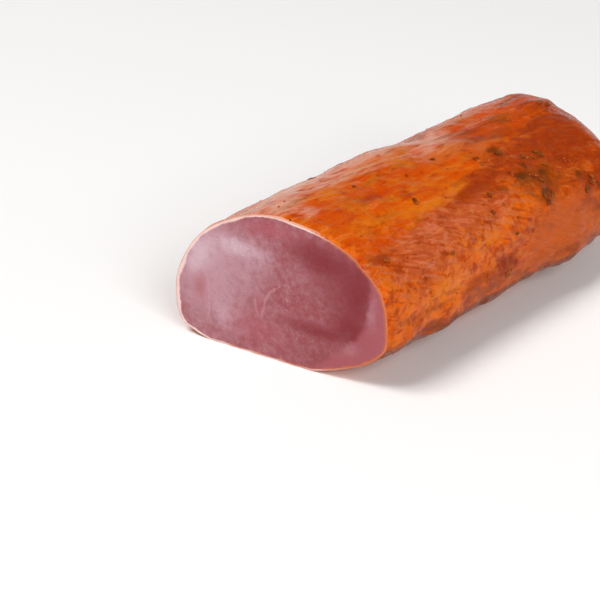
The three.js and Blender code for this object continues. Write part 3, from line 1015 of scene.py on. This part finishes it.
def floor_material(colour):
    """White laminate with a matt face: even and clean"""
    # The grit of a matt face is too fine to show, so it is drawn much coarser
    material, tree, _, (grit,), _ = new_material("matt white laminate", ((3, 2, 0.5),))
    finish_material(tree, (*colour, 1), grit, 0.02 * MM, {"Roughness": 0.6})
    return material


# Settings


def colour_setting(name, description, hex_colour):
    """A colour that the user can change"""
    settings = {"default": linear(hex_colour), "subtype": "COLOR", "size": 3, "min": 0, "max": 1}
    return FloatVectorProperty(name=name, description=description, **settings)


def length_setting(name, description, millimetres):
    """A length that the user can change"""
    settings = {"default": millimetres * MM, "min": 0, "unit": "LENGTH"}
    return FloatProperty(name=name, description=description, **settings)


def stage_setting(name, description, default, **settings):
    """A number of the stage that the user can change"""
    return FloatProperty(name=name, description=description, default=default, **settings)


class LoinSizes(bpy.types.PropertyGroup):
    fibre_height: length_setting("Fibre height", "How far bundles of fibre stand out", 0.3)
    fat_ripple_height: length_setting("Fat ripple", "How far ripples in the fat stand out", 0.22)
    strand_height: length_setting("Strand height", "How thick strands of marinade lie", 0.6)
    bump_height: length_setting("Fine relief", "Height of the finest grain of all", 0.9)
    grain_size: length_setting("Grain size", "Width of a bundle of fibres in the cut face", 1.8)
    rim_width: length_setting("Rim width", "Width of the cream rim round the cut face", 0.95)


class CoatColours(bpy.types.PropertyGroup):
    lean: colour_setting("Lean", "Stained lean under the coat", "#b04408")
    fibre: colour_setting("Fibre", "Pale fibres that show through", "#c6662c")
    marinade: colour_setting("Marinade", "Where the marinade lies thick", "#cc5404")
    salmon: colour_setting("Salmon", "Lean where the marinade lies thin", "#b4522a")
    # Painted highlight on the raised fibres of the lean
    fibre_highlight: colour_setting("Sinew", "Pinker fibres of the lean", "#c46848")
    strand: colour_setting("Strand", "Raised strands of marinade", "#dc701a")
    fat: colour_setting("Fat", "Stained fat cap", "#c84a00")
    glowing: colour_setting("Glowing", "Where the marinade is brightest", "#dc6004")
    # Painted shade in the hollows between the strands
    pit_shade: colour_setting("Pit", "Hollows between the strands", "#aa3e06")
    smooth: colour_setting("Smooth", "Smooth lean towards the far end", "#bc541a")
    marinade_red: colour_setting("Red marinade", "Where the paprika has gathered", "#be3a00")
    golden: colour_setting("Golden", "Fat with little paprika", "#d27014")
    # Dark red-brown marinade, and painted shade along the bottom of the flanks
    ruddy_and_shade: colour_setting("Ruddy", "Where the marinade is darkest", "#902e0a")
    # Pale fat, and also painted sheen along the crown
    bare_fat_and_sheen: colour_setting("Bare", "Pale fat with hardly any marinade", "#dcaa92")
    # Stain round the herbs, and painted shade along the foot
    soaked: colour_setting("Soaked", "Stain round the herbs and along the foot", "#6c3208")
    steeped: colour_setting("Steeped", "Dark smudges under the herbs", "#582c08")


class FaceColours(bpy.types.PropertyGroup):
    lean: colour_setting("Lean", "Most of the cut face", "#95474d")
    rosy: colour_setting("Rosy", "Pinker patches", "#a8545e")
    # Painted sheen on the moist cut
    painted_sheen: colour_setting("Milky", "Pale patches", "#dcc0cc")
    # Partly painted shade on the right of the cut and at its foot
    deep: colour_setting("Deep", "Dark red patches", "#7a1a20")
    fleck: colour_setting("Fleck", "Fine pale flecks", "#c49aa0")
    seam: colour_setting("Seam", "Thin seams between muscles", "#c8969a")
    # Partly painted sheen on the left of the cut
    dusty: colour_setting("Dusty", "Greyish pink of the left side", "#b98c95")
    second: colour_setting("Second muscle", "The paler muscle at the right", "#a2525a")
    rim: colour_setting("Rim", "Fat round the edge", "#eccac4")
    stained_rim: colour_setting("Stained rim", "Fat that the marinade has stained", "#c4683a")


class ToppingLook(bpy.types.PropertyGroup):
    herb_dark: colour_setting("Dark herb", "Darkest flakes", "#682c06")
    herb_light: colour_setting("Light herb", "Lightest flakes", "#864814")
    herb_film: colour_setting("Herb film", "Marinade on the flakes", "#b0541a")
    crumb_pale: colour_setting("Pale crumb", "Palest spice granules", "#c4622a")
    crumb_deep: colour_setting("Deep crumb", "Deepest spice granules", "#ad3d10")
    flake_thickness: length_setting("Flake thickness", "Thickness of a flake of herb", 0.3)
    flake_sits: length_setting("Flake sits", "How high a flake lies on the skin", 0.15)
    spice_low: length_setting("Smallest crumb", "Size of the smallest crumb of spice", 0.6)
    spice_high: length_setting("Largest crumb", "Size of the largest crumb of spice", 1.5)
    spice_count: IntProperty(
        name="Spice crumbs", description="How many crumbs of spice stick to it", default=160, min=0
    )
    herb_count: IntProperty(
        name="Herb crumbs", description="How many crumbs of herb stick to it", default=70, min=0
    )


class StageLook(bpy.types.PropertyGroup):
    azimuth: stage_setting(
        "Azimuth", "Turn of the camera about the loin", math.radians(44.3), subtype="ANGLE"
    )
    elevation: stage_setting(
        "Elevation", "Height of the camera above the horizon", math.radians(30), subtype="ANGLE"
    )
    distance: stage_setting(
        "Distance", "From the camera to the point that it looks at", 0.698, unit="LENGTH"
    )
    aim: FloatVectorProperty(
        name="Aim",
        description="Point on the floor that the camera looks at",
        default=(-0.03066, -0.05082, 0),
        size=3,
        subtype="TRANSLATION",
    )
    lens: stage_setting("Lens", "Focal length in millimetres", 90, min=1)
    floor: colour_setting("Floor", "Pale floor", "#fbfaf9")
    wall_strength: stage_setting("Walls", "Brightness of the white walls", 1, min=0)
    ceiling_strength: stage_setting("Ceiling", "Brightness of the dimmer ceiling", 0.15, min=0)
    key_power: stage_setting("Key light", "Power of the main soft light", 80, min=0, unit="POWER")
    fill_power: stage_setting("Fill light", "Power of the second light", 52, min=0, unit="POWER")


class LoinSettings(bpy.types.PropertyGroup):
    sizes: PointerProperty(type=LoinSizes, name="Sizes")
    coat: PointerProperty(type=CoatColours, name="Coat")
    face: PointerProperty(type=FaceColours, name="Cut face")
    topping: PointerProperty(type=ToppingLook, name="Herbs and crumbs")
    stage: PointerProperty(type=StageLook, name="Stage")


# Operators


class LOIN_OT_meat(bpy.types.Operator):
    """Build the loin itself, with its coat and its cut face"""

    bl_idname = "loin.meat"
    bl_label = "Loin"

    def execute(self, context):
        settings = context.scene.pork_loin
        coat = coat_material(settings.coat, settings.sizes)
        lean = lean_material(settings.face, settings.sizes)
        made = moulded_loin([coat, lean], settings.sizes)
        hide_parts("pork_loin")
        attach(made, "root")
        return {"FINISHED"}


class LOIN_OT_herbs(bpy.types.Operator):
    """Lay the flakes and crumbs of dried herb on the loin"""

    bl_idname = "loin.herbs"
    bl_label = "Dried Herbs"

    def execute(self, context):
        look = context.scene.pork_loin.topping
        herb = herb_material(look)
        flakes = herb_flakes([herb], look)
        low, high = (size * MM for size in HERB_CRUMB_SIZES)
        dust = crumbs("herb_crumbs", [herb], look.herb_count, low, high, HERB_CRUMB_SEED)
        for made in (flakes, dust):
            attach(made, "root")
        return {"FINISHED"}


class LOIN_OT_spice(bpy.types.Operator):
    """Scatter the crumbs of spice over the coat"""

    bl_idname = "loin.spice"
    bl_label = "Spice Crumbs"

    def execute(self, context):
        look = context.scene.pork_loin.topping
        spice = crumb_material(look)
        low, high = look.spice_low, look.spice_high
        made = crumbs("spice_crumbs", [spice], look.spice_count, low, high, SPICE_SEED)
        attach(made, "root")
        return {"FINISHED"}


class LOIN_OT_stage(bpy.types.Operator):
    """Set up the pale floor, the soft lights and the camera"""

    bl_idname = "loin.stage"
    bl_label = "Stage"

    def execute(self, context):
        look = context.scene.pork_loin.stage
        bm = bmesh.new()
        bmesh.ops.create_circle(bm, cap_ends=True, segments=96, radius=FLOOR_RADIUS)
        floor = to_object(bm, "floor", [floor_material(look.floor)])
        add_surround(context.scene, look)
        add_lamp("key", KEY_SPOT, KEY_SIZE, look.key_power)
        add_lamp("fill", FILL_SPOT, FILL_SIZE, look.fill_power)
        add_camera(context.scene, look)
        return {"FINISHED"}


def add_surround(scene, look):
    """White walls all round, under a dimmer ceiling"""
    world = bpy.data.worlds.new("white surround")
    world.use_nodes = True
    tree = world.node_tree
    tree.nodes.clear()
    heading = add_node(tree, "ShaderNodeTexCoord")["Generated"]
    height = add_node(tree, "ShaderNodeSeparateXYZ", {0: heading})[2]
    strength = add_node(
        tree,
        "ShaderNodeMapRange",
        {0: height, 1: 0, 2: CEILING_FROM, 3: look.wall_strength, 4: look.ceiling_strength},
        interpolation_type="SMOOTHSTEP",
    )[0]
    white = {"Color": (1, 1, 1, 1), "Strength": strength}
    background = add_node(tree, "ShaderNodeBackground", white)[0]
    add_node(tree, "ShaderNodeOutputWorld", {"Surface": background})
    scene.world = world
    scene.view_settings.view_transform = "Standard"


def add_lamp(name, spot, size, power):
    """A square soft light that faces the loin"""
    light = bpy.data.lights.new(name, "AREA")
    light.size = size
    light.energy = power
    lamp = bpy.data.objects.new(name, light)
    lamp.location = spot
    lamp.rotation_euler = (-Vector(spot)).to_track_quat("-Z", "Y").to_euler()
    bpy.context.scene.collection.objects.link(lamp)


def add_camera(scene, look):
    """The camera, at the photograph's viewing angle"""
    turn, rise = look.azimuth, look.elevation
    level = math.cos(rise)
    back = Vector((math.sin(turn) * level, -math.cos(turn) * level, math.sin(rise)))
    camera = bpy.data.objects.new("camera", bpy.data.cameras.new("camera"))
    camera.data.lens = look.lens
    camera.location = Vector(look.aim) + back * look.distance
    camera.rotation_euler = (-back).to_track_quat("-Z", "Y").to_euler()
    scene.collection.objects.link(camera)
    scene.camera = camera


class LOIN_PT_panel(bpy.types.Panel):
    """Lists the loin's pieces and their settings"""

    bl_label = "Pork Loin"
    bl_idname = "LOIN_PT_panel"
    bl_space_type = "VIEW_3D"
    bl_region_type = "UI"
    bl_category = "Pork Loin"

    def draw(self, context):
        settings = context.scene.pork_loin
        for operator in OPERATORS:
            self.layout.operator(operator.bl_idname)
        for group in ("sizes", "coat", "face", "topping", "stage"):
            box = self.layout.box()
            box.label(text=settings.bl_rna.properties[group].name)
            values = getattr(settings, group)
            for name in values.__annotations__:
                box.prop(values, name)


GROUPS = (LoinSizes, CoatColours, FaceColours, ToppingLook, StageLook, LoinSettings)
OPERATORS = (LOIN_OT_meat, LOIN_OT_herbs, LOIN_OT_spice, LOIN_OT_stage)


def register():
    for cls in (*GROUPS, *OPERATORS, LOIN_PT_panel):
        bpy.utils.register_class(cls)
    bpy.types.Scene.pork_loin = PointerProperty(type=LoinSettings)


def unregister():
    del bpy.types.Scene.pork_loin
    for cls in reversed((*GROUPS, *OPERATORS, LOIN_PT_panel)):
        bpy.utils.unregister_class(cls)


def main():
    register()
    bpy.ops.loin.meat()
    bpy.ops.loin.herbs()
    bpy.ops.loin.spice()
    bpy.ops.loin.stage()


if __name__ == "__main__":
    main()
